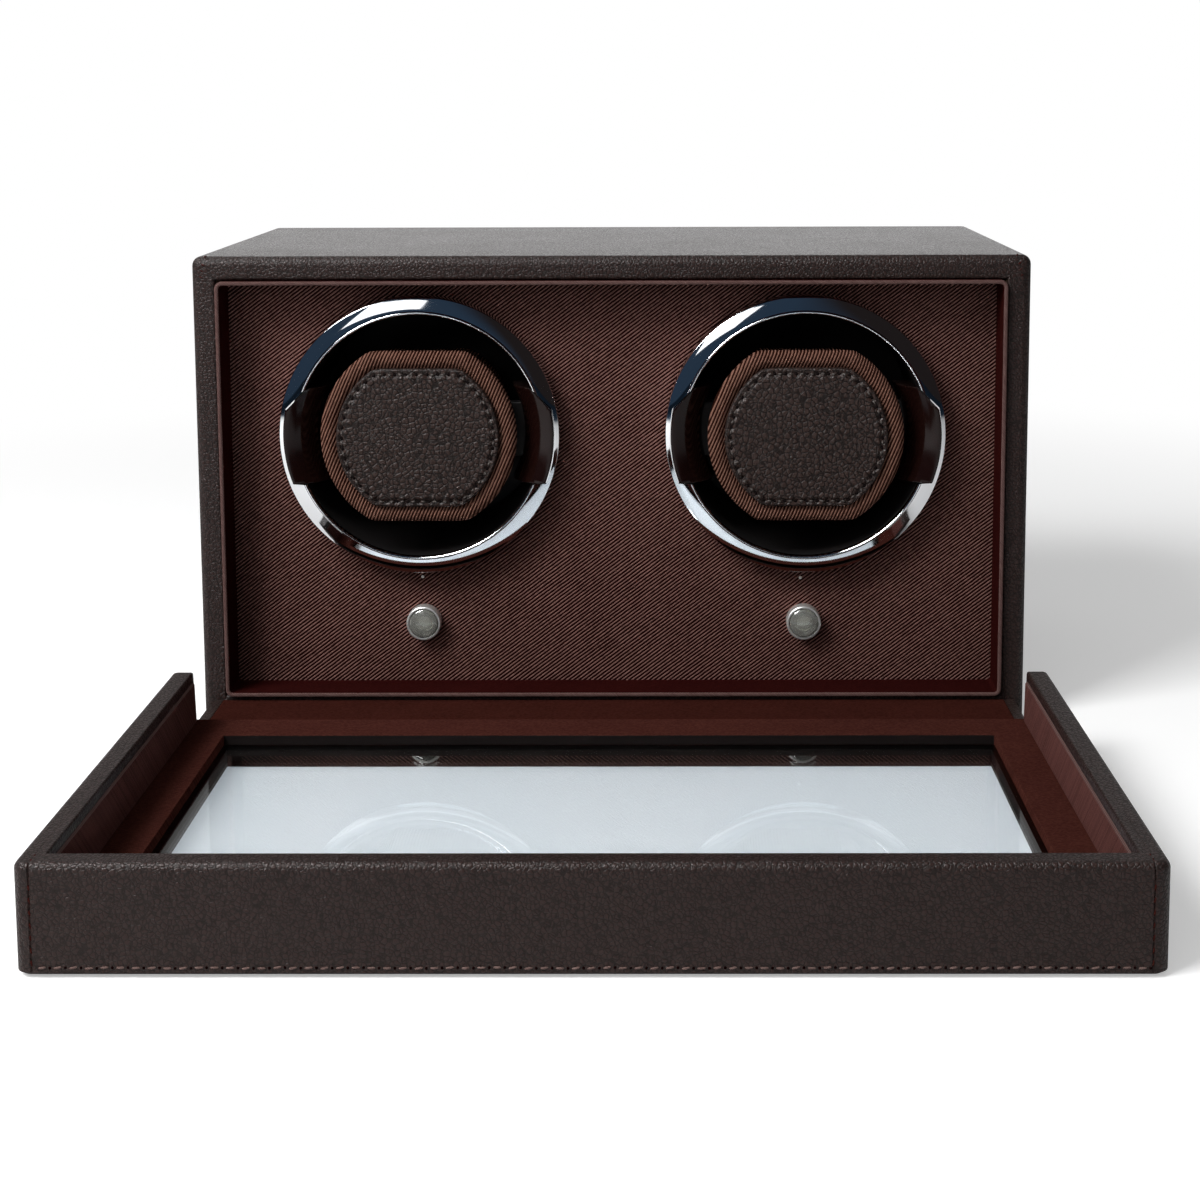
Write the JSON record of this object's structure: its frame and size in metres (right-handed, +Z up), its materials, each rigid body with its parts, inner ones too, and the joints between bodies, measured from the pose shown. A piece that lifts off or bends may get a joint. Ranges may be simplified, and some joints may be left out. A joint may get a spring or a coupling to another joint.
{
  "type": "watch winder",
  "caption": "Leather covered watch winder with a glazed cover that folds down in front, turning drums with removable cushioned cuffs, and lit push buttons.",
  "frame": {"origin": "centre of the case's footprint, on the surface that it stands on", "axes": "+X to the right seen from the front, +Y to the back along the winders' axes, +Z up"},
  "size_m": [0.265, 0.3051, 0.15],
  "materials": {
    "brown_leather": "pebbled, satin",
    "pad_leather": "pebbled, satin",
    "board": "raw fibreboard",
    "suede": "short nap",
    "lining_cloth": "fine ribbed cloth",
    "panel_twill": "diagonal twill",
    "cuff_twill": "diagonal twill",
    "clear_glass": "polished",
    "clear_acrylic": "polished",
    "chrome": "mirror",
    "wing_plastic": "high gloss",
    "drum_plastic": "matte",
    "black_plastic": "matte",
    "white_plastic": "matte",
    "steel": "zinc plated",
    "bronze": "sintered",
    "circuit_board": "lacquered"
  },
  "bodies": {
    "case": {"case_leather": "brown_leather", "front_border_leather": "brown_leather", "spine_leather": "brown_leather", "case_top_board": "board", "case_bottom_board": "board", "case_left_board": "board", "case_right_board": "board", "case_rear_board": "board", "front_panel": "board", "spine_board": "board", "base_sheet": "suede", "recess_collar": "lining_cloth", "panel_twill": "panel_twill", "hinge_lining": "lining_cloth", "case_magnets": "steel", "module_screws": "steel", "board_screws": "steel", "spindle_bushes": "bronze", "button_bezels": "chrome", "button_switches": "black_plastic", "button_leds": "clear_acrylic", "control_board": "circuit_board", "board_standoffs": "black_plastic", "power_inlet": "black_plastic", "left_housing": "black_plastic", "left_motor_plate": "steel", "left_gear_motor": "steel", "right_housing": "black_plastic", "right_motor_plate": "steel", "right_gear_motor": "steel"},
    "cover": {"cover_face_leather": "brown_leather", "cover_wall_leather": "brown_leather", "cover_side_boards": "board", "cover_far_board": "board", "cover_outer_frame": "board", "cover_inner_frame": "board", "cover_wall_lining": "lining_cloth", "cover_frame_lining": "lining_cloth", "glass_pane": "clear_glass", "cover_magnets": "steel"},
    "left_rotor": {"left_drum": "drum_plastic", "left_chrome_ring": "chrome", "left_spindle": "steel", "left_drum_gear": "white_plastic"},
    "left_motor_pinion": {"left_pinion": "bronze"},
    "left_cuff": {"left_cuff_frame": "wing_plastic", "left_cuff_wings": "wing_plastic", "left_cuff_cushion": "cuff_twill", "left_cuff_pad": "pad_leather"},
    "left_button": {"left_button_lens": "clear_acrylic"},
    "right_rotor": {"right_drum": "drum_plastic", "right_chrome_ring": "chrome", "right_spindle": "steel", "right_drum_gear": "white_plastic"},
    "right_motor_pinion": {"right_pinion": "bronze"},
    "right_cuff": {"right_cuff_frame": "wing_plastic", "right_cuff_wings": "wing_plastic", "right_cuff_cushion": "cuff_twill", "right_cuff_pad": "pad_leather"},
    "right_button": {"right_button_lens": "clear_acrylic"}
  },
  "joints": [
    {"name": "cover_hinge", "type": "hinge", "parent": "case", "child": "cover", "pos_m": [0, -0.0905, 0], "axis": [-1, 0, 0], "range_deg": [0, 90]},
    {"name": "left_rotor_spin", "type": "hinge", "parent": "case", "child": "left_rotor", "pos_m": [-0.062, 0, 0.0917], "axis": [0, 1, 0], "continuous": true},
    {"name": "left_motor_spin", "type": "hinge", "parent": "case", "child": "left_motor_pinion", "pos_m": [-0.062, 0, 0.05562], "axis": [0, 1, 0], "continuous": true},
    {"name": "left_cuff_slide", "type": "slide", "parent": "left_rotor", "child": "left_cuff", "axis": [0, -1, 0], "range_m": [0, 0.016]},
    {"name": "left_button_press", "type": "slide", "parent": "case", "child": "left_button", "axis": [0, 1, 0], "range_m": [0, 0.0012], "stiffness_N_per_m": 400, "springref_m": -0.0012},
    {"name": "right_rotor_spin", "type": "hinge", "parent": "case", "child": "right_rotor", "pos_m": [0.062, 0, 0.0917], "axis": [0, 1, 0], "continuous": true},
    {"name": "right_motor_spin", "type": "hinge", "parent": "case", "child": "right_motor_pinion", "pos_m": [0.062, 0, 0.05562], "axis": [0, 1, 0], "continuous": true},
    {"name": "right_cuff_slide", "type": "slide", "parent": "right_rotor", "child": "right_cuff", "axis": [0, -1, 0], "range_m": [0, 0.016]},
    {"name": "right_button_press", "type": "slide", "parent": "case", "child": "right_button", "axis": [0, 1, 0], "range_m": [0, 0.0012], "stiffness_N_per_m": 400, "springref_m": -0.0012}
  ],
  "couplings": [
    {"joint": "left_motor_spin", "follows": "left_rotor_spin", "ratio": -5},
    {"joint": "right_motor_spin", "follows": "right_rotor_spin", "ratio": -5}
  ]
}
